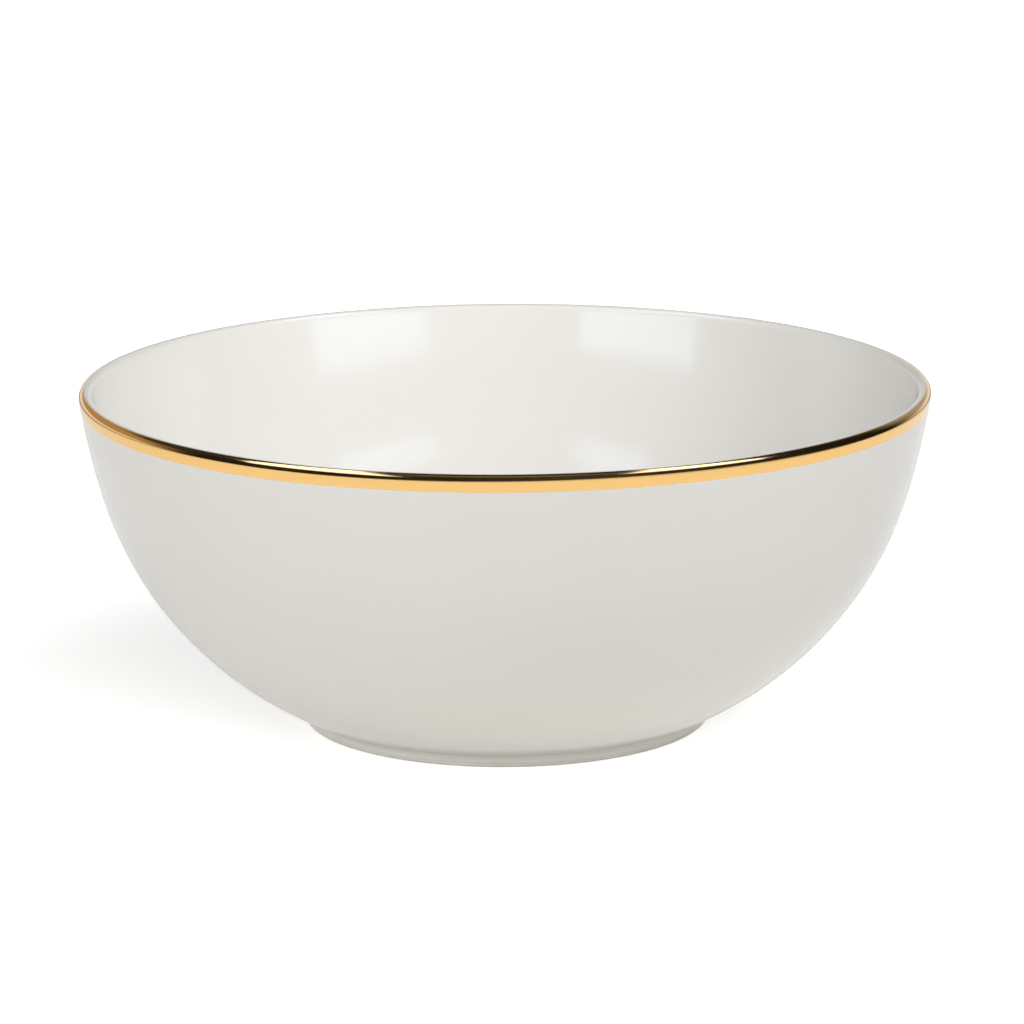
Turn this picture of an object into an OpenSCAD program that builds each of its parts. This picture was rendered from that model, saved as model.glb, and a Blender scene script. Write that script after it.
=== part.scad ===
// Serving bowl of white porcelain on a low foot ring, glazed inside and out, with a gilded lip.
// Everything is turned about the Z axis; the foot ring's contact face lies at z = 0.
// Sizes are in millimetres and angles in degrees.

/* [Bowl] */
// Widest diameter, measured over the gilded lip
rim_d = 230; // [215:1:250]
// Height from the contact face to the crest of the glazed lip
height = 92.4; // [87:0.1:99]
// Angle by which the wall leans outwards just under the lip
rim_lean = 8; // [5:0.5:11]
// Radius of the arc that shapes the glazed outside of the upper wall
upper_arc_r = 180; // [165:1:210]
// Radius of the arc that shapes the glazed outside of the lower wall
lower_arc_r = 97; // [93:0.5:102]

/* [Wall and floor] */
// Thickness of the rounded lip, with its glaze
lip_t = 3.6; // [3:0.1:5]
// Thickness of the wall just above the foot ring, with its glaze
heel_t = 5.5; // [4.5:0.1:7]
// Thickness of the floor at its middle, with the glaze above and below
floor_t = 5; // [4.5:0.1:7]
// Rise of the soft corner between floor and wall above their theoretical crossing
floor_blend = 3; // [1:0.5:5]

/* [Foot ring] */
// Diameter of the foot ring over its glaze
foot_d = 111; // [102:1:120]
// Height at which the foot ring's side and the wall would meet if nothing rounded the corner
foot_h = 3; // [2.5:0.1:5]
// Radius of the cove between the foot ring's side and the wall
foot_cove_r = 2.5; // [1.5:0.1:3]
// Width of the bare ring from its outer side to its inner side, at the contact face
foot_w = 4; // [3:0.1:6]
// Slope of the ring's inner side, which makes the ring wider towards the top
foot_draft = 15; // [5:1:25]
// Radius that rounds the two bare edges of the contact face
foot_edge_r = 0.8; // [0.4:0.1:1]

/* [Glaze] */
// Thickness of the glaze
glaze_t = 0.3; // [0.2:0.05:0.5]
// Height above the contact face at which the glaze stops and bare porcelain begins
glaze_stop = 1; // [1:0.1:1.4]

/* [Gilding] */
// Distance from the crest of the lip down to the gold band's lower edge
band_drop = 4.3; // [3:0.1:8]
// Thickness of the gold film as modelled
gilding_t = 0.1; // [0.05:0.05:0.2]
// Angle on the lip's half circle at which the gold ends: 0 is its outermost point, 90 its crest
gilding_end = 78; // [60:1:120]

/* [Hidden] */

$fn = 180;
// Angle between neighbouring points along a curve of the profile
curve_step = 2.5;

// Colours
porcelain_white = [0.93, 0.92, 0.89];
bisque_white = [0.90, 0.88, 0.84];
glaze_white = [0.92, 0.92, 0.90];
glaze_cream = [0.95, 0.94, 0.90];
gold = [0.85, 0.62, 0.25];

// A slope angle is 0 where the wall faces straight outwards and 90 where it faces straight down.
straight_down = 90;
// Angle of the lip's crest on its half circle, which starts at the outside
crest = 90;
function facing(slope) = [cos(slope), -sin(slope)];
function slope_of(v) = atan2(-v[1], v[0]);
function reversed(list) = [for (i = [len(list) - 1 : -1 : 0]) list[i]];

// Evenly spaced angles from one angle to another, both ends included
function sweep(from, to) =
    let (steps = max(1, ceil(abs(to - from) / curve_step)))
    [for (i = [0 : steps]) from + (to - from) * i / steps];

// Arc about a centre, with angles counted anticlockwise from the r axis
function arc(centre, r, from, to) = [for (t = sweep(from, to)) centre + r * [cos(t), sin(t)]];

// Lip: a half circle that rounds the top of the wall
lip_r = lip_t / 2;
lip_c = [rim_d / 2 - gilding_t - lip_r, height - lip_r];

// Upper arc: it runs on from the outer end of the lip's half circle
upper_c = lip_c - (upper_arc_r - lip_r) * facing(rim_lean);

// Lower arc: it touches the upper arc from within and passes through the foot's theoretical corner,
// so its centre is where a circle about each of the two meets the other
foot_corner = [foot_d / 2, foot_h];
to_corner = foot_corner - upper_c;
span = norm(to_corner);
reach = upper_arc_r - lower_arc_r;
along = (pow(reach, 2) - pow(lower_arc_r, 2) + pow(span, 2)) / (2 * span);
aside = sqrt(pow(reach, 2) - pow(along, 2));
lower_c = upper_c + (along * to_corner + aside * [-to_corner[1], to_corner[0]]) / span;
blend_slope = slope_of(lower_c - upper_c);

// Cove: a circle outside the wall that touches the lower arc and the foot ring's side
cove_x = foot_d / 2 + foot_cove_r;
cove_drop = sqrt(pow(lower_arc_r + foot_cove_r, 2) - pow(cove_x - lower_c[0], 2));
cove_c = [cove_x, lower_c[1] - cove_drop];
cove_slope = slope_of(cove_c - lower_c);

// Point of the wall at a slope angle and a depth under the glazed outside
function wall_point(slope, depth) =
    slope < blend_slope
        ? upper_c + (upper_arc_r - depth) * facing(slope)
        : lower_c + (lower_arc_r - depth) * facing(slope);

// Seat: the level where the body stands on the foot ring, at the upper end of the bare cove
seat_z = wall_point(cove_slope, glaze_t)[1];
recess_z = seat_z - glaze_t;
floor_z = recess_z + floor_t;

// Thickness of the glazed wall: it eases from lip_t at the lip to heel_t above the foot ring
function wall_t(slope) =
    let (way = min(1, (slope - rim_lean) / (cove_slope - rim_lean)))
    lip_t + (heel_t - lip_t) * (3 - 2 * way) * pow(way, 2);

// Inside of the wall before the floor is laid in it
function wall_inside(slope, depth) = wall_point(slope, wall_t(slope) - depth);

// The floor's level, which the inside nears towards the axis and reaches exactly at its middle
middle_z = wall_inside(straight_down, 0)[1];
floor_level = floor_z - pow(floor_blend, 2) / (floor_z - middle_z);

// Inside of the bowl: a hyperbola between the wall's own height and the floor's level.
// Its height y solves (y - wall) * (y - level) = floor_blend ^ 2.
function bowl_inside(slope, depth) =
    let (wall = wall_inside(slope, depth), level = floor_level - depth)
    [wall[0], (wall[1] + level + sqrt(pow(wall[1] - level, 2) + 4 * pow(floor_blend, 2))) / 2];

// Profile lines from the lip's crest downwards, with a depth under the glazed surface
outer_slopes = concat(sweep(rim_lean, blend_slope), sweep(blend_slope + curve_step, cove_slope));
inner_slopes = concat(sweep(rim_lean, blend_slope), sweep(blend_slope + curve_step, straight_down));
function outside_line(depth) = concat(
    arc(lip_c, lip_r - depth, crest, -rim_lean),
    [for (s = outer_slopes) if (s > rim_lean) wall_point(s, depth)]);
function inside_line(depth) = concat(
    arc(lip_c, lip_r - depth, crest, 180 - rim_lean),
    [for (s = inner_slopes) if (s > rim_lean) bowl_inside(s, depth)],
    [[0, floor_z - depth]]);

// Cove and foot side, from the wall downwards to a height above the contact face
cove_arc_start = 180 - cove_slope;
function foot_side_line(depth, stop) = concat(
    arc(cove_c, foot_cove_r + depth, cove_arc_start, 180),
    [[foot_d / 2 - depth, stop]]);

// Bare ring: its outer side, and its inner side, which leans towards the axis as it rises
ring_outer_r = foot_d / 2 - glaze_t;
ring_inner_r = ring_outer_r - foot_w;
function ring_inner_at(z) = ring_inner_r - z * tan(foot_draft);
inner_edge_c = [ring_inner_at(foot_edge_r) + foot_edge_r / cos(foot_draft), foot_edge_r];

module turned(outline) {
    rotate_extrude()
        polygon(outline);
}

// Wall and floor of unglazed porcelain, fired hard
module bowl_body() {
    color(porcelain_white)
        turned(concat(
            outside_line(glaze_t),
            [[0, seat_z]],
            reversed(inside_line(glaze_t))));
}

// Ring that the bowl stands on, with its bare contact face
module foot_ring() {
    color(bisque_white)
        turned(concat(
            [[ring_inner_at(seat_z), seat_z]],
            foot_side_line(glaze_t, foot_edge_r),
            arc([ring_outer_r - foot_edge_r, foot_edge_r], foot_edge_r, 0, -90),
            arc(inner_edge_c, foot_edge_r, -90, -180 + foot_draft)));
}

// Glaze from the lip's crest down the outside to just above the contact face, where it thins out
module glaze_outside() {
    color(glaze_white)
        turned(concat(
            outside_line(0),
            foot_side_line(0, glaze_stop + glaze_t),
            reversed(foot_side_line(glaze_t, glaze_stop)),
            reversed(outside_line(glaze_t))));
}

// Glaze from the lip's crest over the inside and the floor
module glaze_inside() {
    color(glaze_cream)
        turned(concat(
            inside_line(0),
            reversed(inside_line(glaze_t))));
}

// Glaze in the recess under the bowl, inside the foot ring
module glaze_base() {
    side_t = glaze_t / cos(foot_draft);
    color(glaze_white)
        turned([
            [0, seat_z],
            [ring_inner_at(seat_z), seat_z],
            [ring_inner_at(glaze_stop), glaze_stop],
            [ring_inner_at(glaze_stop + glaze_t) - side_t, glaze_stop + glaze_t],
            [ring_inner_at(recess_z) - side_t, recess_z],
            [0, recess_z]]);
}

// Gold film from just outside the lip's crest to a little way down the wall
module gold_rim_band() {
    band_slope = asin((upper_c[1] - (height - band_drop)) / upper_arc_r);
    wall_slopes = [for (s = sweep(rim_lean, band_slope)) if (s > rim_lean) s];
    color(gold)
        turned(concat(
            arc(lip_c, lip_r + gilding_t, gilding_end, -rim_lean),
            [for (s = wall_slopes) wall_point(s, -gilding_t)],
            [for (s = reversed(wall_slopes)) wall_point(s, 0)],
            arc(lip_c, lip_r, -rim_lean, gilding_end)));
}

bowl_body();
foot_ring();
glaze_outside();
glaze_inside();
glaze_base();
gold_rim_band();
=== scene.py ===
# %% [markdown]
# # A porcelain serving bowl with a gilded lip
#
# The real bowl is one shell of hard-fired porcelain under a clear glaze. It stands on a low foot ring
# whose contact face is bare, and a thin film of gold runs over its lip. Nothing on it moves.
#
# The imported model brings the true sizes, and this lesson adds the finish. We load the model first,
# because every new piece has to lie where its node lies. The box that holds the model is printed,
# and the rim's radius is read from it.

# %% Load the imported model
import math

import bpy
import numpy as np
from mathutils import Matrix, Vector


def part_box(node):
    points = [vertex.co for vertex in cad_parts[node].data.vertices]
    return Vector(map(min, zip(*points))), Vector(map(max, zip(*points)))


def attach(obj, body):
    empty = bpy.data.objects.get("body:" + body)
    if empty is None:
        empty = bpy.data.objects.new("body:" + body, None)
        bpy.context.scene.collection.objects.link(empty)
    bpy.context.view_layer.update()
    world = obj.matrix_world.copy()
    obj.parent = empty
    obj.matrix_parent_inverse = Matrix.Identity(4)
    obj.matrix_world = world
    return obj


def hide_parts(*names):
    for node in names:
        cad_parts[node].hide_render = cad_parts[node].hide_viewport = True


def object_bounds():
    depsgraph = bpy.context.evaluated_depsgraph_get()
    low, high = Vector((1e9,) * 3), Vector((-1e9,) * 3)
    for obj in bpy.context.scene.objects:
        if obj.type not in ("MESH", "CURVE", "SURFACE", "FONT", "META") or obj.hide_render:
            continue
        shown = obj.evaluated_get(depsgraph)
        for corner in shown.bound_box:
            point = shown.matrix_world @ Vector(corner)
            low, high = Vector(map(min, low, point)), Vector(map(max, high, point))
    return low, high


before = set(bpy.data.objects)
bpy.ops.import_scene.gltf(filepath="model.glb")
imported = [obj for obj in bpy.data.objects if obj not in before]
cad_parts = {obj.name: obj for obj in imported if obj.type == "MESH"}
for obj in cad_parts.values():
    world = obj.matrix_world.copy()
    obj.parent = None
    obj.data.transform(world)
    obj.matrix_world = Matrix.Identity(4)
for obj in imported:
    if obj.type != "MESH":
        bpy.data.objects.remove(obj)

cad_low, cad_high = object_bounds()
print("model's box, mm:", [round(1000 * (b - a), 2) for a, b in zip(cad_low, cad_high)])

# %% [markdown]
# ## The profile of the bowl
#
# A bowl is thrown or pressed on an axis, so one line from lip to foot says all about its shape. It
# could be a spline through hand-placed points, but a spline wobbles between them, and a mirror-bright
# glaze shows each wobble. We use true arcs instead: half a circle for the lip, two long arcs that
# touch for the wall, and a small hollow arc, the cove, above the foot ring.
#
# Each line is kept as a table of distance, point and outward normal. A layer at any depth under the
# glazed surface is then the point moved along its normal, and a film on top is the same with a
# lift. That keeps porcelain, glaze and gold exactly parallel.

# %% Sizes, in metres and radians
rim_r = cad_high.x
rim_lean = math.radians(8)
upper_arc_r = 0.180
lower_arc_r = 0.097
lip_t = 0.0036
heel_t = 0.0055
floor_t = 0.005
floor_blend = 0.003
foot_r = 0.0555
foot_h = 0.003
foot_cove_r = 0.0025
foot_w = 0.004
foot_draft = math.radians(15)
foot_edge_r = 0.0008
glaze_t = 0.0003
glaze_stop = 0.001
band_drop = 0.0043
gilding_t = 0.0001
crest = math.pi / 2
gilding_end = math.radians(78)
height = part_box("bowl_body")[1].z + glaze_t

# %% Centres of the arcs


def facing(slope):
    """Unit vector square to the wall, as (r, z): it turns down from level by the slope angle."""
    return np.stack([np.cos(slope), -np.sin(slope)], axis=-1)


def slope_of(vector):
    """Angle by which a vector (r, z) points below level."""
    return math.atan2(-vector[1], vector[0])


lip_r = lip_t / 2
lip_c = np.array([rim_r - gilding_t - lip_r, height - lip_r])
upper_c = lip_c - (upper_arc_r - lip_r) * facing(rim_lean)

# The lower arc touches the upper one from within and passes through the foot's outer corner, so its
# centre lies where a circle about each of the two meets the other.
to_corner = np.array([foot_r, foot_h]) - upper_c
span = np.linalg.norm(to_corner)
reach = upper_arc_r - lower_arc_r
along = (reach**2 - lower_arc_r**2 + span**2) / (2 * span)
aside = math.sqrt(reach**2 - along**2)
lower_c = upper_c + (along * to_corner + aside * np.array([-to_corner[1], to_corner[0]])) / span
blend_slope = slope_of(lower_c - upper_c)

cove_x = foot_r + foot_cove_r
cove_drop = math.sqrt((lower_arc_r + foot_cove_r) ** 2 - (cove_x - lower_c[0]) ** 2)
cove_c = np.array([cove_x, lower_c[1] - cove_drop])
cove_slope = slope_of(cove_c - lower_c)


def wall_point(slope, depth):
    """Point of the wall: arc centre + (arc radius - depth) * facing, on the upper or the lower arc."""
    slope = np.asarray(slope, float)
    upper = upper_c + (upper_arc_r - depth)[..., None] * facing(slope)
    lower = lower_c + (lower_arc_r - depth)[..., None] * facing(slope)
    return np.where((slope < blend_slope)[..., None], upper, lower)


seat_z = wall_point(cove_slope, np.array(glaze_t))[1]
recess_z = seat_z - glaze_t
floor_z = recess_z + floor_t
meets = [round(math.degrees(a), 2) for a in (blend_slope, cove_slope)]
print("slopes where the arcs meet, degrees:", meets)
print("joint with the foot ring and floor, mm:", round(1000 * seat_z, 3), round(1000 * floor_z, 3))

# %% Profile lines as tables of distance, point and normal


def table_of(points, normals):
    """A profile line as (distance along it, points, unit normals)."""
    steps = np.linalg.norm(np.diff(points, axis=0), axis=1)
    distance = np.concatenate([[0.0], np.cumsum(steps)])
    return distance, points, normals / np.linalg.norm(normals, axis=1)[:, None]


def arc_of(centre, radius, angles, side=1.0):
    """Points centre + radius * (cos t, sin t) and their normals, outwards for side 1."""
    ray = np.stack([np.cos(angles), np.sin(angles)], axis=1)
    return centre + radius * ray, side * ray


def lay(line, distance, lift):
    """Points of a line at given distances, moved along the normals: point + lift * normal."""
    s, points, normals = line
    r = np.interp(distance, s, points[:, 0]) + lift * np.interp(distance, s, normals[:, 0])
    z = np.interp(distance, s, points[:, 1]) + lift * np.interp(distance, s, normals[:, 1])
    return r, z


# %% The outside line and the inside line
fine = math.radians(0.25)
lip_step = math.radians(1)


def sweep(start, end, step):
    """Evenly spaced angles from start to end, both included."""
    return np.linspace(start, end, int(math.ceil(abs(end - start) / step)) + 1)


def outside_line():
    """Line from the crest over the lip's outer half, down the wall and the cove to the table."""
    lip_angles = sweep(crest, -rim_lean, lip_step)
    slopes = sweep(rim_lean, cove_slope, fine)[1:]
    cove_angles = sweep(math.pi - cove_slope, math.pi, lip_step)[1:]
    lip, lip_n = arc_of(lip_c, lip_r, lip_angles)
    wall, wall_n = wall_point(slopes, np.zeros_like(slopes)), facing(slopes)
    cove, cove_n = arc_of(cove_c, foot_cove_r, cove_angles, side=-1.0)
    side, side_n = np.array([[foot_r, 0.0]]), np.array([[1.0, 0.0]])
    return table_of(np.vstack([lip, wall, cove, side]), np.vstack([lip_n, wall_n, cove_n, side_n]))


def inside_line():
    """Line from the crest over the lip's inner half and down the inside of the wall to the axis.

    The wall thickens from lip_t to heel_t by the smooth step w * w * (3 - 2 * w). The floor is laid in
    by a hyperbola: its height y solves (y - wall) * (y - level) = floor_blend ** 2.
    """
    lip_angles = sweep(crest, math.pi - rim_lean, lip_step)
    lip, lip_n = arc_of(lip_c, lip_r, lip_angles)
    slopes = sweep(rim_lean, math.pi / 2, fine)
    way = np.minimum(1.0, (slopes - rim_lean) / (cove_slope - rim_lean))
    wall = wall_point(slopes, lip_t + (heel_t - lip_t) * (3 - 2 * way) * way**2)
    middle_z = wall[-1, 1]
    level = floor_z - floor_blend**2 / (floor_z - middle_z)
    gap = wall[:, 1] - level
    z = (wall[:, 1] + level + np.sqrt(gap**2 + 4 * floor_blend**2)) / 2
    wall = np.vstack([np.stack([wall[:, 0], z], axis=1), [[0.0, floor_z]]])
    run = np.gradient(wall, axis=0)
    wall_n = np.stack([run[:, 1], -run[:, 0]], axis=1)
    wall_n[-2:] = [0.0, 1.0]
    return table_of(np.vstack([lip, wall[1:]]), np.vstack([lip_n, wall_n[1:]]))


outside = outside_line()
inside = inside_line()
print("lines, mm: outside", round(1000 * outside[0][-1], 1), "inside", round(1000 * inside[0][-1], 1))

# %% [markdown]
# ## Turning a profile into a closed skin
#
# Blender's Screw modifier can turn a profile, but every turn of it is the same. Glaze is never quite
# even: it ran a little while it was liquid. So we compute the whole grid of points at once, profile
# rows by angle columns, and each point may have its own lift. The grid is closed along the profile
# and round the axis, which makes each piece a solid skin with an inside face that nobody sees.

# %% A grid of rows and columns becomes a mesh
columns = 320
sharp_turn = math.radians(40)
angle = np.linspace(0, 2 * math.pi, columns, endpoint=False)[None, :]


def skin(name, r, z, on_axis=False):
    """Mesh of the points (r cos a, r sin a, z), where r and z are grids of profile rows by angles.

    The rows run round a closed loop, or from axis to axis if on_axis is set: its first and last rows
    then shrink to one point each, and a fan of triangles closes each pole.
    """
    r = np.broadcast_to(r, (len(r), columns))
    z = np.broadcast_to(z, (len(z), columns))
    mean_r, mean_z = r.mean(axis=1), z.mean(axis=1)
    if np.sum(mean_r * np.roll(mean_z, -1) - np.roll(mean_r, -1) * mean_z) > 0:
        r, z = r[::-1], z[::-1]
    points = np.stack([r * np.cos(angle), r * np.sin(angle), z], axis=-1)
    poles = np.array([[0, 0, z[0].mean()], [0, 0, z[-1].mean()]])
    if on_axis:
        points = points[1:-1]
    rows = len(points)
    index = np.arange(rows * columns).reshape(rows, columns)
    beside = np.roll(index, -1, axis=1)
    below, across = np.roll(index, -1, axis=0), np.roll(beside, -1, axis=0)
    quads = np.stack([index, below, across, beside], axis=-1)
    vertices = points.reshape(-1, 3)
    faces = (quads[:-1] if on_axis else quads).reshape(-1, 4).tolist()
    if on_axis:
        first, last = len(vertices), len(vertices) + 1
        vertices = np.vstack([vertices, poles])
        faces += [[first, a, b] for a, b in zip(index[0].tolist(), beside[0].tolist())]
        faces += [[last, b, a] for a, b in zip(index[-1].tolist(), beside[-1].tolist())]
    mesh = bpy.data.meshes.new(name)
    mesh.from_pydata(vertices.tolist(), [], faces)
    mesh.shade_smooth()
    mesh.set_sharp_from_angle(angle=sharp_turn)
    mesh.validate()
    piece = bpy.data.objects.new(name, mesh)
    bpy.context.scene.collection.objects.link(piece)
    print(name, "has", len(mesh.vertices), "vertices and", len(mesh.polygons), "faces")
    return piece


# %% Spacing of rows, easing, a hand-drawn edge and the run of the glaze


def stretch(*stops):
    """Rows of a profile: stops are (start, end, count), and each stretch leaves its end to the next."""
    return np.concatenate([np.linspace(a, b, n, endpoint=False) for a, b, n in stops])[:, None]


def ease(x):
    """Smooth step from 0 to 1: x * x * (3 - 2 * x), with x held between 0 and 1."""
    x = np.clip(x, 0.0, 1.0)
    return x * x * (3 - 2 * x)


def wander(seed, size, waves=9):
    """Hand-drawn edge: a sum of waves size * cos(k * angle + phase) / sqrt(k), the same each run."""
    random = np.random.default_rng(seed)
    k = np.arange(2, 2 + waves)[:, None]
    phase = random.uniform(0, 2 * math.pi, (waves, 1))
    return size * (np.cos(k * angle + phase) / np.sqrt(k)).sum(axis=0)[None, :]


def ripple(s, seed, size):
    """Run of the fired glaze: a sum of slanting waves cos(k * angle + s / length + phase) * size.

    k is a whole number, so the seam closes, and the lengths lie between 4 and 13 mm per radian.
    """
    random = np.random.default_rng(seed)
    total = 0.0
    for k in (0, 1, 2, 3, 5, 7, 9, 12):
        length = random.uniform(0.004, 0.013)
        phase, turn = random.uniform(0, 2 * math.pi, 2)
        total = total + np.cos(k * angle + turn) * np.cos(s / length + phase)
    return size * total / math.sqrt(8)


# %% [markdown]
# ## Glaze on the outside
#
# The glaze is a glassy coat about a third of a millimetre thick. Before firing, its lowest
# millimetre is wiped off, so that the bowl doesn't melt onto the kiln shelf. In the kiln the wiped
# edge pulls itself into a soft bead. We could round the edge with a bevel, but a bevel has one
# radius all round. So we lower the lift to nothing over the last third of a millimetre, add the bead
# just above it, and let the edge wander by about a tenth of a millimetre.

# %% The outside coat
ripple_size = 0.00004
ripple_calm = 0.012
edge_wander = 0.00006
edge_reach = 0.002
edge_round = 0.00035
bead_lift, bead_from_edge, bead_half = 0.00005, 0.0006, 0.0004
back_short = 0.0004
wall_start = lip_r * (crest + rim_lean)
outside_end = outside[0][-1] - glaze_stop
cove_start = outside_end - (cove_c[1] - glaze_stop) - foot_cove_r * cove_slope


def outside_coat():
    """Grid of the outer coat, distance from the crest by angle.

    The lift falls as a quarter circle over the last edge_round, and the bead is a bell curve,
    bead_lift * exp(-((distance from the edge - bead_from_edge) / bead_half) ** 2).
    """
    edge = outside_end + wander(seed=3, size=edge_wander)
    rows = stretch(
        (0, wall_start, 26), (wall_start, cove_start, 104), (cove_start, outside_end, 34)
    )
    rows = np.vstack([rows, [[outside_end]]])
    near_edge = ease(1 - (outside_end - rows) / edge_reach)
    s = rows + near_edge * (edge - outside_end)
    from_edge = np.clip((edge - s) / edge_round, 0.0, 1.0)
    rounding = glaze_t * (np.sqrt(1 - (1 - from_edge) ** 2) - 1)
    bead = bead_lift * np.exp(-(((edge - s - bead_from_edge) / bead_half) ** 2))
    run = ripple(s, seed=11, size=ripple_size)
    run = run * ease((s - ripple_calm / 2) / ripple_calm) * ease((outside_end - s) / ripple_calm)
    r, z = lay(outside, s, rounding + bead + run)
    back = stretch(
        (outside_end - back_short, cove_start, 12), (cove_start, wall_start, 40), (wall_start, 0, 8)
    )
    back = np.vstack([back, [[0.0]]]) * np.ones_like(angle)
    back_r, back_z = lay(outside, back, -glaze_t)
    return np.vstack([r, back_r]), np.vstack([z, back_z])


glaze_outside = skin("outside_glaze", *outside_coat())
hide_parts("glaze_outside")
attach(glaze_outside, "root")

# %% [markdown]
# ## Glaze on the inside
#
# The inner coat starts at the crest, where the two coats meet just inside the gold, and runs down the
# wall and over the floor. The last row lies on the axis. A ring of long triangles there would pinch
# the shading, so the ripple fades out towards the middle and the rows grow closer.

# %% The inside coat
floor_reach = 0.060
crest_calm = 0.004
middle_calm = 0.045


def inside_coat():
    """Grid of the inner coat from the crest to the axis, and back under the glaze to the crest."""
    end = inside[0][-1]
    floor_start = end - floor_reach
    rows = stretch((0, wall_start, 26), (wall_start, floor_start, 96), (floor_start, end, 40))
    s = np.vstack([rows, [[end]]]) * np.ones_like(angle)
    run = ripple(s, seed=23, size=ripple_size)
    run = run * ease((s - crest_calm) / ripple_calm) * ease((end - s) / middle_calm)
    r, z = lay(inside, s, run)
    r[-1] = 0.0
    back = stretch((0, wall_start, 8), (wall_start, end, 60))
    back = np.vstack([back, [[end]]]) * np.ones_like(angle)
    back_r, back_z = lay(inside, back, -glaze_t)
    back_r[-1] = 0.0
    return np.vstack([r[::-1], back_r]), np.vstack([z[::-1], back_z])


glaze_inside = skin("inside_glaze", *inside_coat(), on_axis=True)
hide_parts("glaze_inside")
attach(glaze_inside, "root")

# %% [markdown]
# ## The bare foot ring
#
# The ring is porcelain without glaze, ground flat where it meets the table so that the bowl neither
# rocks nor scratches. It could be a torus cut by a plane, but the ground face needs its own soft
# edges. We join short arcs and straight runs into one loop.

# %% The foot ring
ring_outer_r = foot_r - glaze_t
ring_inner_r = ring_outer_r - foot_w
edge_step = 0.16


def ring_inner_at(z):
    """Radius of the ring's inner side, which leans towards the axis as it rises."""
    return ring_inner_r - z * math.tan(foot_draft)


def foot_loop():
    """Loop of the ring: seat, cove and side from the outside line, then two rounded edges."""
    s = np.linspace(cove_start, outside[0][-1] - foot_edge_r, 24)
    side = np.stack(lay(outside, s, -glaze_t), axis=1)
    outer_c = [ring_outer_r - foot_edge_r, foot_edge_r]
    inner_c = [ring_inner_at(foot_edge_r) + foot_edge_r / math.cos(foot_draft), foot_edge_r]
    outer_edge, _ = arc_of(outer_c, foot_edge_r, sweep(0, -crest, edge_step))
    inner_edge, _ = arc_of(inner_c, foot_edge_r, sweep(-crest, -math.pi + foot_draft, edge_step))
    inner_side = np.linspace(inner_edge[-1], [ring_inner_at(seat_z), seat_z], 6)[1:]
    face = np.linspace(outer_edge[-1], inner_edge[0], 5)[1:-1]
    loop = np.vstack([side, outer_edge[1:], face, inner_edge, inner_side])
    return loop[:, :1], loop[:, 1:]


foot_ring = skin("bare_foot_ring", *foot_loop())
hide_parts("foot_ring")
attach(foot_ring, "root")

# %% [markdown]
# ## Glaze under the bowl
#
# The recess inside the foot ring is glazed too. Liquid glaze gathers in its corner, so we lay a small
# arc there instead of a sharp crossing. The coat stops short of the ground face as it does outside.

# %% The recess coat
corner_r = 0.0016
corner_step = 0.1
recess_ripple = 0.00003
recess_calm = (0.030, 0.010)


def base_coat():
    """Grid from the axis along the recess, round the corner, down the ring and back behind it."""
    lean = np.array([math.cos(foot_draft), math.sin(foot_draft)])
    side_t = glaze_t / math.cos(foot_draft)
    corner_x = ring_inner_at(recess_z - corner_r) - side_t - corner_r / math.cos(foot_draft)
    corner_x = corner_x + corner_r * (1 - math.cos(foot_draft)) * 0.5
    corner_c = np.array([corner_x, recess_z - corner_r])
    bend, bend_n = arc_of(corner_c, corner_r, sweep(crest, foot_draft, corner_step), side=-1.0)
    flat_r = np.linspace(0.0, bend[0, 0], 44, endpoint=False)
    flat = np.stack([flat_r, np.full_like(flat_r, recess_z)], axis=1)
    stop = np.array([ring_inner_at(glaze_stop), glaze_stop])
    side = np.linspace(bend[-1], stop - [side_t, -glaze_t], 10)[1:]
    points = np.vstack([flat, bend, side])
    flat_n, side_n = np.tile([0.0, -1.0], (len(flat), 1)), np.tile(-lean, (len(side), 1))
    normals = np.vstack([flat_n, bend_n, side_n])
    line = table_of(points, normals)
    s = line[0][:, None] * np.ones_like(angle)
    end = line[0][-1]
    run = ripple(s, seed=31, size=recess_ripple)
    run = run * ease(s / recess_calm[0]) * ease((end - s) / recess_calm[1])
    r, z = lay(line, s, run)
    back_r = np.array([[ring_inner_at(glaze_stop)], [ring_inner_at(seat_z)], [0.0]])
    back_z = np.array([[glaze_stop], [seat_z], [seat_z]])
    flat_grid = np.ones_like(angle)
    return np.vstack([r, back_r * flat_grid]), np.vstack([z, back_z * flat_grid])


glaze_base = skin("recess_glaze", *base_coat(), on_axis=True)
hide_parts("glaze_base")
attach(glaze_base, "root")

# %% [markdown]
# ## The gold band
#
# Liquid gold is brushed on while the bowl turns on a wheel, then fired until only a bright film is
# left. The brush leaves nearly straight edges that waver by a few hundredths of a millimetre. We lay a
# film on the outside line, from just outside the crest to a few millimetres down the wall. The packed
# model has it a tenth of a millimetre thick, so that it is a true solid. Here it is a quarter of that,
# because the rounded edge of a thick film would mirror a bright line that the real film doesn't have.

# %% The gold film
film_t = 0.000025
film_sink = 0.00002
brush_waver = 0.00005
band_slope = math.asin((upper_c[1] - (height - band_drop)) / upper_arc_r)
band_start = lip_r * (crest - gilding_end)
band_end = wall_start + upper_arc_r * (band_slope - rim_lean)


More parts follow.
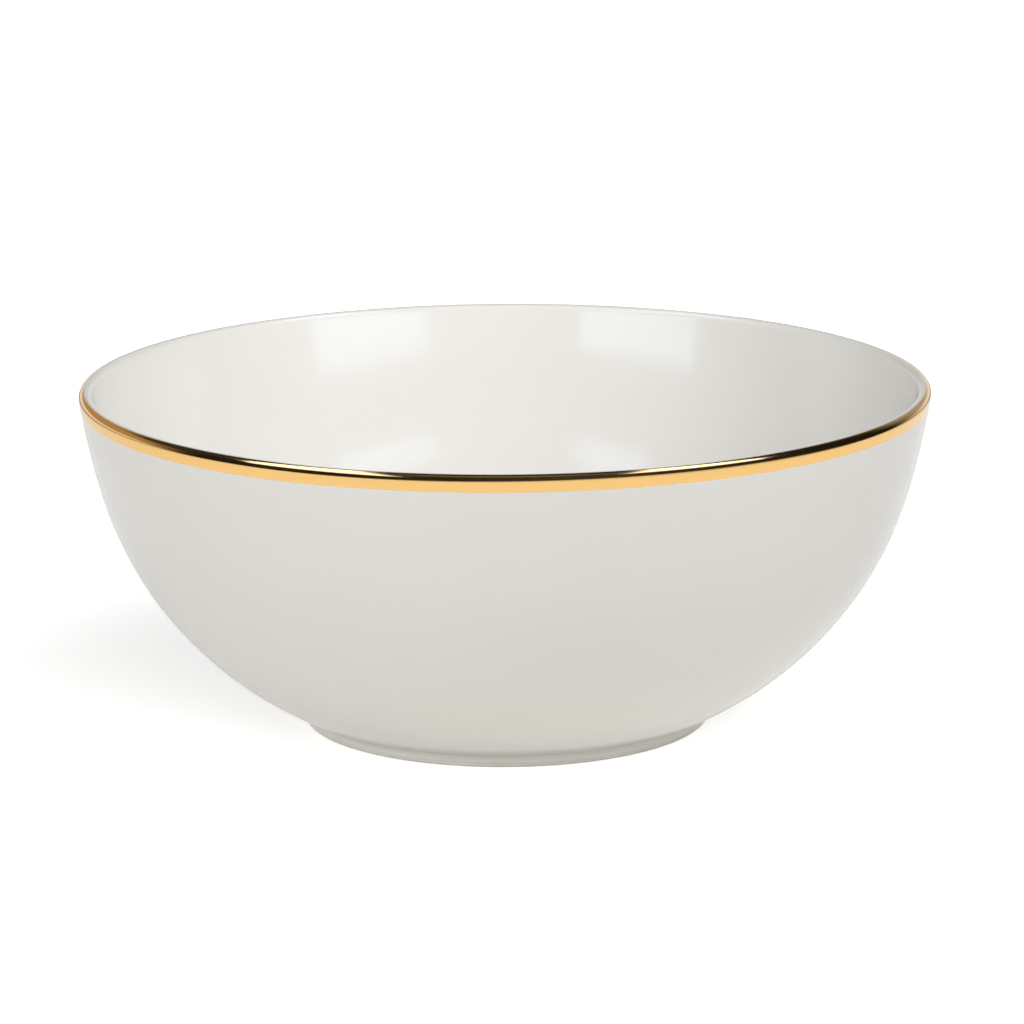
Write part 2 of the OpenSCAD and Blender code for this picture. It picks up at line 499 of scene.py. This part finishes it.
def gold_film():
    """Grid across the band by angle: the film's lift rises as a quarter circle from both edges."""
    upper = band_start + wander(seed=41, size=brush_waver)
    lower = band_end + wander(seed=43, size=brush_waver)
    share = stretch((0, 0.006, 4), (0.006, 0.62, 68), (0.62, 0.994, 22), (0.994, 1, 4))
    share = np.vstack([share, [[1.0]]])
    s = upper + share * (lower - upper)
    near = np.minimum(s - upper, lower - s) / film_t
    lift = film_t * np.sqrt(1 - (1 - np.clip(near, 0, 1)) ** 2)
    r, z = lay(outside, s, lift)
    back_s = upper + share[-2:0:-8] * (lower - upper)
    back_r, back_z = lay(outside, back_s, -film_sink)
    return np.vstack([r, back_r]), np.vstack([z, back_z])


gold_band = skin("gold_rim", *gold_film())
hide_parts("gold_rim_band")
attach(gold_band, "root")

# %% [markdown]
# ## Effects that several finishes share
#
# A fired glaze has a faint orange peel, a few pin specks and a tone that drifts over the piece. Each
# effect is a node group with named sockets, built once. The groups put out only values and colours;
# the shader itself stays in each material.

# %% Helpers for node trees


def add(tree, kind, settings=None, **inputs):
    """A new node of a kind, with its settings, and its inputs given by name as values or sockets."""
    node = tree.nodes.new(kind)
    for key, value in (settings or {}).items():
        setattr(node, key, value)
    for key, value in inputs.items():
        connect(tree, node.inputs[key.replace("_", " ")], value)
    return node


def connect(tree, socket, value):
    """Links an output to the socket, or sets the socket's own value."""
    if isinstance(value, bpy.types.NodeSocket):
        tree.links.new(value, socket)
    else:
        socket.default_value = value


def math_node(tree, operation, *values):
    """Output of a Math node on the given values or sockets."""
    node = tree.nodes.new("ShaderNodeMath")
    node.operation = operation
    for socket, value in zip(node.inputs, values):
        connect(tree, socket, value)
    return node.outputs[0]


def mix_colour(tree, factor, first, second):
    """Output of a Mix node that goes from the first colour to the second."""
    node = tree.nodes.new("ShaderNodeMix")
    node.data_type = "RGBA"
    for socket, value in zip((node.inputs[i] for i in (0, 6, 7)), (factor, first, second)):
        connect(tree, socket, value)
    return node.outputs[2]


def grey(tree, value):
    """A brightness as a colour."""
    return add(tree, "ShaderNodeCombineColor", Red=value, Green=value, Blue=value).outputs[0]


def ramp(tree, value, low, high, out_low=0.0, out_high=1.0):
    """A value between low and high carried smoothly to the range from out_low to out_high."""
    node = tree.nodes.new("ShaderNodeMapRange")
    node.interpolation_type = "SMOOTHSTEP"
    for socket, given in zip(node.inputs, (value, low, high, out_low, out_high)):
        connect(tree, socket, given)
    return node.outputs[0]


# %% Helpers for node groups


def new_group(name, inputs, outputs):
    """An empty shader group. inputs are (name, kind, default), and outputs are (name, kind)."""
    tree = bpy.data.node_groups.new(name, "ShaderNodeTree")
    for label, kind, default in inputs:
        socket = tree.interface.new_socket(label, in_out="INPUT", socket_type="NodeSocket" + kind)
        socket.default_value = default
    for label, kind in outputs:
        tree.interface.new_socket(label, in_out="OUTPUT", socket_type="NodeSocket" + kind)
    return tree, tree.nodes.new("NodeGroupInput").outputs, tree.nodes.new("NodeGroupOutput").inputs


def place(tree, group, **inputs):
    """A group node in a tree, with the inputs given by name."""
    node = tree.nodes.new("ShaderNodeGroup")
    node.node_tree = group
    for key, value in inputs.items():
        connect(tree, node.inputs[key.replace("_", " ")], value)
    return node.outputs


# %% Orange peel, tone drift and specks


def peel_group():
    """Relief of a glaze: a broad run of the melt plus a fine peel, each a noise times its share."""
    tree, given, out = new_group(
        "glaze_relief",
        [
            ("Run Scale", "Float", 40.0),
            ("Run", "Float", 0.7),
            ("Peel Scale", "Float", 280.0),
            ("Peel", "Float", 0.3),
        ],
        [("Height", "Float"), ("Smear", "Float")],
    )
    where = add(tree, "ShaderNodeTexCoord").outputs["Object"]
    run = add(tree, "ShaderNodeTexNoise", Vector=where, Scale=given["Run Scale"], Detail=1.0)
    peel = add(tree, "ShaderNodeTexNoise", Vector=where, Scale=given["Peel Scale"], Detail=2.0)
    broad = math_node(tree, "MULTIPLY", run.outputs[0], given["Run"])
    small = math_node(tree, "MULTIPLY", peel.outputs[0], given["Peel"])
    connect(tree, out["Height"], math_node(tree, "ADD", broad, small))
    smear = add(tree, "ShaderNodeTexNoise", Vector=where, Scale=14.0, Detail=4.0, Roughness=0.6)
    connect(tree, out["Smear"], ramp(tree, smear.outputs[0], 0.35, 0.7))
    return tree


def tone_group():
    """Colour that drifts between two tones over some centimetres, as an uneven glaze does."""
    tree, given, out = new_group(
        "tone_drift",
        [
            ("Tone", "Color", (1, 1, 1, 1)),
            ("Deep Tone", "Color", (1, 1, 1, 1)),
            ("Scale", "Float", 12.0),
        ],
        [("Color", "Color")],
    )
    where = add(tree, "ShaderNodeTexCoord").outputs["Object"]
    cloud = add(
        tree, "ShaderNodeTexNoise", Vector=where, Scale=given["Scale"], Detail=3.0, Roughness=0.55
    )
    share = ramp(tree, cloud.outputs[0], 0.3, 0.7)
    connect(tree, out["Color"], mix_colour(tree, share, given["Tone"], given["Deep Tone"]))
    return tree


def speck_group():
    """Mask of sparse round specks: near a cell's point, and only in a share of the cells."""
    tree, given, out = new_group(
        "pin_specks",
        [("Scale", "Float", 90.0), ("Size", "Float", 0.02), ("Share", "Float", 0.4)],
        [("Mask", "Float")],
    )
    where = add(tree, "ShaderNodeTexCoord").outputs["Object"]
    cells = add(tree, "ShaderNodeTexVoronoi", Vector=where, Scale=given["Scale"])
    luck = add(tree, "ShaderNodeSeparateColor", Color=cells.outputs["Color"]).outputs[0]
    chosen = math_node(tree, "LESS_THAN", luck, given["Share"])
    half = math_node(tree, "MULTIPLY", given["Size"], 0.5)
    spot = ramp(tree, cells.outputs["Distance"], half, given["Size"], 1.0, 0.0)
    connect(tree, out["Mask"], math_node(tree, "MULTIPLY", spot, chosen))
    return tree


relief_group = peel_group()
drift_group = tone_group()
specks_group = speck_group()
print("shared effects:", relief_group.name, drift_group.name, specks_group.name)

# %% [markdown]
# ## The finishes
#
# Glazed porcelain is a white body under clear glass. Two layered shaders could say so, but one
# Principled shader with an index of refraction of 1.5 and a low roughness gives the same look and
# exports cleanly. Inside and outside are one glaze, but its colour is darker outside and under the
# foot as painted shade, and lighter inside as painted light, for the brighter light in the bowl.

# %% A new material


def finish(name):
    """A new material, its tree and its Principled shader."""
    material = bpy.data.materials.new(name)
    material.use_nodes = True
    return material, material.node_tree, material.node_tree.nodes["Principled BSDF"].inputs


# %% The two glazes
speck_tone = (0.33, 0.27, 0.20, 1)
speck_share = 0.45
glaze_relief = 0.00003


def glazed(name, tone, deep_tone, gloss):
    """Glaze: drifting tone with a few specks, a faint relief and a gloss that smears a little."""
    material, tree, shader = finish(name)
    drift = place(tree, drift_group, Tone=(*tone, 1), Deep_Tone=(*deep_tone, 1), Scale=14.0)
    specks = place(tree, specks_group, Scale=75.0, Size=0.016, Share=0.35)
    relief = place(tree, relief_group)
    faint = math_node(tree, "MULTIPLY", specks["Mask"], speck_share)
    connect(tree, shader["Base Color"], mix_colour(tree, faint, drift["Color"], speck_tone))
    connect(tree, shader["Roughness"], ramp(tree, relief["Smear"], 0.0, 1.0, *gloss))
    pitted = math_node(tree, "MULTIPLY_ADD", specks["Mask"], -0.5, relief["Height"])
    bump = add(tree, "ShaderNodeBump", Strength=1.0, Distance=glaze_relief, Height=pitted)
    connect(tree, shader["Normal"], bump.outputs[0])
    shader["IOR"].default_value = 1.5
    return material


# Painted shade and light: one glaze, darker outside and under the foot, lighter inside.
white_glaze = glazed("white_glaze", (0.745, 0.73, 0.70), (0.73, 0.72, 0.69), (0.10, 0.14))
cream_glaze = glazed("cream_glaze", (0.89, 0.875, 0.83), (0.88, 0.86, 0.815), (0.10, 0.13))

# %% [markdown]
# ## Bare porcelain
#
# Without glaze, fired porcelain is matt and finely grained, and the table rubs it grey at its lowest
# edge. The rub could be painted in an image, but a mask made from the height in Object coordinates
# needs no unwrapping and stays sharp close up.

# %% The foot ring's finish
rubbed_grey = (0.36, 0.34, 0.32, 1)
rub_height = 0.0007


def bare_porcelain():
    """Ground porcelain: matt and fine-grained, with grey rubs from the table near its lowest edge."""
    material, tree, shader = finish("bare_porcelain")
    where = add(tree, "ShaderNodeTexCoord").outputs["Object"]
    tones = {"Tone": (0.76, 0.73, 0.67, 1), "Deep_Tone": (0.70, 0.665, 0.60, 1)}
    drift = place(tree, drift_group, **tones, Scale=30.0)
    level = add(tree, "ShaderNodeSeparateXYZ", Vector=where).outputs["Z"]
    low = ramp(tree, level, 0.0, rub_height, 1.0, 0.0)
    scuff = add(tree, "ShaderNodeTexNoise", Vector=where, Scale=220.0, Detail=6.0, Roughness=0.7)
    rub = math_node(tree, "MULTIPLY", ramp(tree, scuff.outputs[0], 0.45, 0.75), low)
    connect(tree, shader["Base Color"], mix_colour(tree, rub, drift["Color"], rubbed_grey))
    connect(tree, shader["Roughness"], ramp(tree, rub, 0.0, 1.0, 0.78, 0.5))
    grain = add(tree, "ShaderNodeTexNoise", Vector=where, Scale=2600.0, Detail=3.0)
    bump = add(tree, "ShaderNodeBump", Strength=1.0, Distance=0.00002, Height=grain.outputs[0])
    connect(tree, shader["Normal"], bump.outputs[0])
    return material


# %% [markdown]
# ## Fired gold
#
# Bright gold is nearly a mirror, with very fine brush lines that run round the rim. An anisotropic
# shader could stretch the highlights across the lines, but they are so faint that a low relief of
# streaks does as well. Where hands wear the film, it shines a little less.

# %% The gold's finish
bright_gold, worn_gold = (0.95, 0.60, 0.225, 1), (0.93, 0.60, 0.25, 1)
along_brush, across_brush = 30.0, 2500.0


def fired_gold():
    """Bright gold: fine brush lines that run round the rim, and a softer gloss where it is worn.

    The lines are a noise that changes slowly along the rim and fast with z less the distance from
    the axis, which is the way across the band both on the wall and on the lip.
    """
    material, tree, shader = finish("fired_gold")
    where = add(tree, "ShaderNodeTexCoord").outputs["Object"]
    parts = add(tree, "ShaderNodeSeparateXYZ", Vector=where).outputs
    flat = add(tree, "ShaderNodeCombineXYZ", X=parts["X"], Y=parts["Y"]).outputs[0]
    out = add(tree, "ShaderNodeVectorMath", {"operation": "LENGTH"}, Vector=flat).outputs["Value"]
    across = math_node(tree, "SUBTRACT", parts["Z"], out)
    brushed = add(
        tree,
        "ShaderNodeCombineXYZ",
        X=math_node(tree, "MULTIPLY", parts["X"], along_brush),
        Y=math_node(tree, "MULTIPLY", parts["Y"], along_brush),
        Z=math_node(tree, "MULTIPLY", across, across_brush),
    ).outputs[0]
    streaks = add(tree, "ShaderNodeTexNoise", Vector=brushed, Scale=1.0, Detail=3.0)
    wear = add(tree, "ShaderNodeTexNoise", Vector=where, Scale=60.0, Detail=5.0, Roughness=0.65)
    worn = ramp(tree, wear.outputs[0], 0.5, 0.8)
    connect(tree, shader["Base Color"], mix_colour(tree, worn, bright_gold, worn_gold))
    connect(tree, shader["Roughness"], ramp(tree, worn, 0.0, 1.0, 0.10, 0.17))
    bump = add(tree, "ShaderNodeBump", Strength=1.0, Distance=0.000002, Height=streaks.outputs[0])
    connect(tree, shader["Normal"], bump.outputs[0])
    shader["Metallic"].default_value = 1.0
    return material


# %% [markdown]
# ## The body, and each finish on its piece
#
# Nobody sees the porcelain under the glaze, but a cut through the bowl would show it. It could keep a
# plain colour. We give it a faint grain, because that costs one noise. Then each piece takes its
# finish.

# %% The body's finish


def hidden_porcelain():
    """The fired body under the glaze: white, matt, and faintly grained."""
    material, tree, shader = finish("porcelain_body")
    tones = {"Tone": (0.86, 0.84, 0.79, 1), "Deep_Tone": (0.83, 0.81, 0.76, 1)}
    drift = place(tree, drift_group, **tones, Scale=20.0)
    relief = place(tree, relief_group, Peel_Scale=1500.0, Peel=1.0, Run=0.0)
    connect(tree, shader["Base Color"], drift["Color"])
    connect(tree, shader["Roughness"], ramp(tree, relief["Smear"], 0.0, 1.0, 0.6, 0.7))
    bump = add(tree, "ShaderNodeBump", Strength=1.0, Distance=0.00002, Height=relief["Height"])
    connect(tree, shader["Normal"], bump.outputs[0])
    return material


for piece, material in (
    (glaze_outside, white_glaze),
    (glaze_inside, cream_glaze),
    (glaze_base, white_glaze),
    (foot_ring, bare_porcelain()),
    (gold_band, fired_gold()),
    (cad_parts["bowl_body"], hidden_porcelain()),
):
    piece.data.materials.clear()
    piece.data.materials.append(material)
    print(piece.name, "is finished in", material.name, "of", len(material.node_tree.nodes), "nodes")

# %% [markdown]
# ## Studio
#
# The bowl stands on a plain pale floor. Matt surfaces only add up the light that reaches them, but a
# glossy glaze and a mirror of gold show where it comes from. One set of lamps could serve both, but
# it is hard to tune. So each kind of surface gets its own light, which the Light Path node tells
# apart.
#
# The camera sees white behind the bowl. The floor is lifted towards white for it, but keeps the
# shadow of the bowl.

# %% Floor
floor_half = 3.0
floor_white = (0.90, 0.90, 0.895)
floor_bounce = (0.89, 0.87, 0.82)
table_dim = (0.40, 0.40, 0.40)
table_middle = (0.2, -0.4, 0.0)
table_reach = (0.5, 1.7)
camera_lift = 0.6
mirror_lift = 0.36
floor_rough = 0.9


def level_sheet(name, half, z):
    """Square sheet of the studio, level at a height, which isn't part of the bowl."""
    mesh = bpy.data.meshes.new(name)
    corners = [(half * x, half * y, z) for x, y in ((-1, -1), (1, -1), (1, 1), (-1, 1))]
    mesh.from_pydata(corners, [], [(0, 1, 2, 3)])
    sheet = bpy.data.objects.new(name, mesh)
    bpy.context.scene.collection.objects.link(sheet)
    return sheet


floor = level_sheet("floor", floor_half, 0.0)


def floor_finish():
    """Pale floor: it is lifted to white for the camera and keeps a soft shadow.

    Mirrors see it white round the bowl and dimmer further off, as a lit table in a dim room is. The
    light that it throws up on the matt wall is slightly warm, as in the photo. From below it is
    clear, so that the foot can be looked at.
    """
    material = bpy.data.materials.new("pale_floor")
    material.use_nodes = True
    tree = material.node_tree
    shader, output = tree.nodes["Principled BSDF"], tree.nodes["Material Output"]
    away = add(tree, "ShaderNodeVectorMath", {"operation": "DISTANCE"})
    connect(tree, away.inputs[0], add(tree, "ShaderNodeTexCoord").outputs["Object"])
    connect(tree, away.inputs[1], table_middle)
    reach = away.outputs["Value"]
    path = add(tree, "ShaderNodeLightPath").outputs
    far = math_node(tree, "MULTIPLY", ramp(tree, reach, *table_reach), path["Is Glossy Ray"])
    shade = mix_colour(tree, far, (*floor_white, 1), (*table_dim, 1))
    shade = mix_colour(tree, path["Is Diffuse Ray"], shade, (*floor_bounce, 1))
    connect(tree, shader.inputs["Base Color"], shade)
    shader.inputs["Roughness"].default_value = floor_rough
    shader.inputs["Specular IOR Level"].default_value = 0.0
    direct = math_node(tree, "MAXIMUM", path["Is Camera Ray"], path["Is Transmission Ray"])
    glow = ramp(tree, reach, *table_reach, mirror_lift, 0.0)
    mirrored = math_node(tree, "MULTIPLY", path["Is Glossy Ray"], glow)
    lift = math_node(tree, "MULTIPLY_ADD", direct, camera_lift, mirrored)
    shader.inputs["Emission Color"].default_value = (1, 1, 1, 1)
    connect(tree, shader.inputs["Emission Strength"], lift)
    clear = add(tree, "ShaderNodeBsdfTransparent").outputs[0]
    under = add(tree, "ShaderNodeNewGeometry").outputs["Backfacing"]
    mix = add(tree, "ShaderNodeMixShader")
    connect(tree, mix.inputs[0], under)
    connect(tree, mix.inputs[1], shader.outputs[0])
    connect(tree, mix.inputs[2], clear)
    connect(tree, output.inputs["Surface"], mix.outputs[0])
    return material


floor.data.materials.append(floor_finish())
print("floor:", 2 * floor_half, "m square, finished in", floor.data.materials[0].name)

# %% [markdown]
# ## Room
#
# Nine broad glows light the matt colour under the glaze. Mirrors see a room instead: the white table
# with its far edge, dark walls and a brown corner. A picture of a room could be wrapped round the
# scene, but a few formulas of the direction do the same and can be changed one by one.

# %% Room
glows = (
    (-80, 5, 1.05, 16),
    (-60, 20, 1.6, 16),
    (-30, 20, 0.15, 16),
    (30, 20, 1.35, 16),
    (90, 20, 1.45, 16),
    (0, 35, 1.86, 8),
    (60, 35, 0.2, 8),
    (30, 50, 1.7, 16),
    (60, 50, 1.27, 16),
)
room_dark = 0.01
table_edge = (-0.22, 0.2)
back_pale = 0.9
back_wall = 0.4
brown_wall = (0.44, 0.31, 0.17)
ceiling = 0.15
edge_right, edge_away, edge_rise = -0.19, 0.33, 0.19
wall_base, wall_top = (0.05, 0.25), (0.38, 0.56)
behind_turn, behind_span = -0.3, (0.3, 0.8)
brown_side, brown_base = (0.0, -0.35), (0.08, 0.2)
zenith = (0.93, 1.0)
world = bpy.data.worlds.new("studio_room")
world.use_nodes = True
bpy.context.scene.world = world


def towards(azimuth, elevation):
    """Unit vector to a place in the room; azimuth is counted from the camera, plus to its right."""
    a, e = math.radians(azimuth), math.radians(elevation)
    return Vector((math.sin(a) * math.cos(e), -math.cos(a) * math.cos(e), math.sin(e)))


def soft_glows(tree, way):
    """Light of the glows from a direction: sum of strength * max(0, cos of angle) ** narrowness."""
    total = 0.0
    for azimuth, elevation, strength, narrowness in glows:
        centre = towards(azimuth, elevation)
        near = add(tree, "ShaderNodeVectorMath", {"operation": "DOT_PRODUCT"})
        connect(tree, near.inputs[0], way)
        connect(tree, near.inputs[1], centre)
        ahead = math_node(tree, "MAXIMUM", near.outputs["Value"], 0.0)
        glow = math_node(tree, "POWER", ahead, narrowness)
        total = math_node(tree, "MULTIPLY_ADD", glow, strength, total)
    return total


def room():
    """What mirrors see of the room, as brightness by direction; the matt parts get the soft glows.

    x points right, y away from the camera and z up. The white table runs up to an edge, where
    z + edge_right * x + edge_away * y + edge_rise passes through table_edge, and it is highest in
    front on the right. Above it the room is dark. Where y + behind_turn * x passes through
    behind_span, a wall begins behind the bowl, pale at its foot and brown at its left.
    """
    tree = world.node_tree
    tree.nodes.clear()
    way = add(tree, "ShaderNodeTexCoord").outputs["Generated"]
    x, y, z = add(tree, "ShaderNodeSeparateXYZ", Vector=way).outputs
    sloped = math_node(tree, "MULTIPLY_ADD", y, edge_away, z)
    sloped = math_node(tree, "MULTIPLY_ADD", x, edge_right, sloped)
    table = math_node(tree, "ADD", sloped, edge_rise)
    front = ramp(tree, table, *table_edge, 1.0, room_dark)

    pale = ramp(tree, z, *wall_base, back_pale, back_wall)
    wall = math_node(tree, "MULTIPLY", pale, ramp(tree, z, *wall_top, 1.0, 0.1))
    tinted = math_node(tree, "MULTIPLY", ramp(tree, x, *brown_side), ramp(tree, z, *brown_base))
    brown = math_node(tree, "MULTIPLY", tinted, ramp(tree, z, *wall_top, 1.0, 0.0))
    back = mix_colour(tree, brown, grey(tree, wall), (*brown_wall, 1))

    behind = ramp(tree, math_node(tree, "MULTIPLY_ADD", x, behind_turn, y), *behind_span)
    mirrored = add(tree, "ShaderNodeVectorMath", {"operation": "ADD"})
    connect(tree, mirrored.inputs[0], mix_colour(tree, behind, grey(tree, front), back))
    connect(tree, mirrored.inputs[1], grey(tree, ramp(tree, z, *zenith, 0.0, ceiling)))

    path = add(tree, "ShaderNodeLightPath").outputs
    seen = math_node(tree, "MAXIMUM", path["Is Camera Ray"], path["Is Transmission Ray"])
    level = mix_colour(tree, path["Is Glossy Ray"], soft_glows(tree, way), mirrored.outputs[0])
    shown = mix_colour(tree, seen, level, (1, 1, 1, 1))
    background = add(tree, "ShaderNodeBackground", Color=shown, Strength=1.0)
    output = tree.nodes.new("ShaderNodeOutputWorld")
    connect(tree, output.inputs[0], background.outputs[0])


room()
print("the room has", len(glows), "glows and", len(world.node_tree.nodes), "nodes")

# %% [markdown]
# ## Windows
#
# Two windows overhead make the long highlights on the gold. They could be painted in the world as
# well, but the world is endlessly far away, and real windows are so near that their mirror image
# shifts along the lip. So a sheet hangs above the bowl, clear but for the two windows.

# %% Windows in the roof
roof_z = 0.71
roof_half = 1.2
window_cool = (0.60, 0.68, 1.0)
window_right = (3.8, 1.6, 0.4, 1.0)
window_left = (3.5, 1.0, 0.5, 1.2)
window_soft = 0.02


def roof_window(tree, out, ahead, look):
    """Brightness of one window, by metres out to the side and ahead to the camera.

    It lies out past 0.22 + 0.2 * ahead. Behind, it ends at ahead = 0.85 * out - 0.51, and in front
    at ahead = 0.79 - 0.7 * out. look is (strength, slant, near, far): the window is at full strength
    where out + slant * ahead is less than near, and fades to nothing at far.
    """
    strength, slant, near, far = look
    inner = math_node(tree, "MULTIPLY_ADD", ahead, -0.2, math_node(tree, "SUBTRACT", out, 0.22))
    back = math_node(tree, "MULTIPLY_ADD", out, -0.85, math_node(tree, "ADD", ahead, 0.51))
    front = math_node(tree, "MULTIPLY_ADD", out, -0.7, math_node(tree, "SUBTRACT", 0.79, ahead))
    fade = ramp(tree, math_node(tree, "MULTIPLY_ADD", ahead, slant, out), near, far, strength, 0.0)
    for inwards in (inner, back, front):
        shown = ramp(tree, inwards, -window_soft, window_soft)
        fade = math_node(tree, "MULTIPLY", fade, shown)
    return fade


def roof_finish():
    """Clear but for two windows, whose light is added to what is seen through the roof."""
    material = bpy.data.materials.new("roof_windows")
    material.use_nodes = True
    tree = material.node_tree
    tree.nodes.clear()
    where = add(tree, "ShaderNodeTexCoord").outputs["Object"]
    x, y, z = add(tree, "ShaderNodeSeparateXYZ", Vector=where).outputs
    ahead = math_node(tree, "MULTIPLY", y, -1.0)
    right = roof_window(tree, x, ahead, window_right)
    left = roof_window(tree, math_node(tree, "MULTIPLY", x, -1.0), ahead, window_left)
    both = math_node(tree, "ADD", right, left)
    light = add(tree, "ShaderNodeEmission", Color=(*window_cool, 1), Strength=both).outputs[0]
    clear = add(tree, "ShaderNodeBsdfTransparent").outputs[0]
    total = tree.nodes.new("ShaderNodeAddShader")
    connect(tree, total.inputs[0], light)
    connect(tree, total.inputs[1], clear)
    connect(tree, tree.nodes.new("ShaderNodeOutputMaterial").inputs["Surface"], total.outputs[0])
    return material


roof = level_sheet("roof", roof_half, roof_z)
roof.data.materials.append(roof_finish())
roof.visible_camera = roof.visible_transmission = False
roof.visible_diffuse = roof.visible_shadow = False
print("roof sheet at", roof_z, "m with two windows")

# %% [markdown]
# ## Lamps
#
# Four soft lamps show only in the gloss of the glaze, as the pale patches inside the bowl. Two more
# fill the outside of the wall, on the left and at the back. They could light everything, but the
# inside of the bowl is bright enough. Light linking says which pieces a lamp lights.

# %% Lamps
lamp_distance = 1.8
lamp_cool = (0.66, 0.82, 1.0)
lamp_white = (1.0, 1.0, 1.0)


def soft_lamp(name, azimuth, elevation, width, tall, radiance, colour, gloss=True):
    """Rectangular lamp aimed at the bowl, for gloss alone or, as a fill, for the matt colour alone.

    The power of such a lamp is radiance * pi * area.
    """
    light = bpy.data.lights.new(name, "AREA")
    light.shape = "RECTANGLE"
    light.size, light.size_y = width, tall
    light.energy = radiance * math.pi * width * tall
    light.color = colour
    lamp = bpy.data.objects.new(name, light)
    ray = towards(azimuth, elevation)
    lamp.location = ray * lamp_distance + Vector((0, 0, height / 2))
    lamp.rotation_mode = "QUATERNION"
    lamp.rotation_quaternion = ray.to_track_quat("Z", "Y")
    lamp.visible_camera = False
    lamp.visible_glossy = gloss
    lamp.visible_diffuse = not gloss
    bpy.context.scene.collection.objects.link(lamp)
    return lamp


def light_only(name, lamps, pieces):
    """Limits lamps to some of the pieces, which are gathered in a collection of that name."""
    shown = bpy.data.collections.new(name)
    for piece in pieces:
        shown.objects.link(piece)
    for lamp in lamps:
        lamp.light_linking.receiver_collection = shown
        print(lamp.name, "lights", len(pieces), "pieces with", round(lamp.data.energy, 2), "W")


patch_lamps = (
    soft_lamp("low_right", 41, 8.2, 1.15, 0.38, 2.8, lamp_cool),
    soft_lamp("low_left", -41, 8.2, 1.15, 0.38, 3.5, lamp_cool),
    soft_lamp("high_right", 46, 42, 0.95, 0.28, 2.2, lamp_cool),
    soft_lamp("high_left", -41, 42, 0.70, 0.28, 1.9, lamp_cool),
)
fill_lamps = (
    soft_lamp("fill_left", -80, 10, 1.2, 0.5, 3.1, lamp_white, gloss=False),
    soft_lamp("fill_back", 170, 12, 2.2, 0.5, 2.6, lamp_white, gloss=False),
)
light_only("shows_lamps", patch_lamps, (glaze_outside, glaze_inside, glaze_base, foot_ring))
light_only("shows_fills", fill_lamps, (glaze_outside, foot_ring))

# %% [markdown]
# ## Camera
#
# A long lens keeps the rim a calm ellipse. The camera looks down by the angle that the rim's height
# and width give, and the numbers below put the bowl where the photograph has it.

# %% Camera at the photograph's angle
view_distance = 1.400
view_elevation = math.radians(13.568)
view_pitch = math.radians(13.112)
view_yaw = math.radians(0.073)
view_roll = math.radians(-0.320)
aim_z = 0.045
focal_px = 5139.6
frame_px = 1024
sensor = 36.0


def aimed_camera():
    """Camera frame: forward from yaw and pitch, right and up turned by the roll about it."""
    ahead = Vector((math.sin(view_yaw), math.cos(view_yaw), 0))
    forward = math.cos(view_pitch) * ahead - Vector((0, 0, math.sin(view_pitch)))
    level_right = Vector((math.cos(view_yaw), -math.sin(view_yaw), 0))
    level_up = level_right.cross(forward)
    right = math.cos(view_roll) * level_right + math.sin(view_roll) * level_up
    up = math.cos(view_roll) * level_up - math.sin(view_roll) * level_right
    data = bpy.data.cameras.new("camera")
    data.sensor_width = sensor
    data.lens = sensor * focal_px / frame_px
    camera = bpy.data.objects.new("camera", data)
    turn = Matrix((right, up, -forward)).transposed().to_4x4()
    back, up_by = view_distance * math.cos(view_elevation), view_distance * math.sin(view_elevation)
    camera.matrix_world = Matrix.Translation((0, -back, aim_z + up_by)) @ turn
    bpy.context.scene.collection.objects.link(camera)
    return camera


bpy.context.scene.camera = aimed_camera()
bpy.context.scene.view_settings.view_transform = "Standard"
print("lens, mm:", round(bpy.context.scene.camera.data.lens, 1))
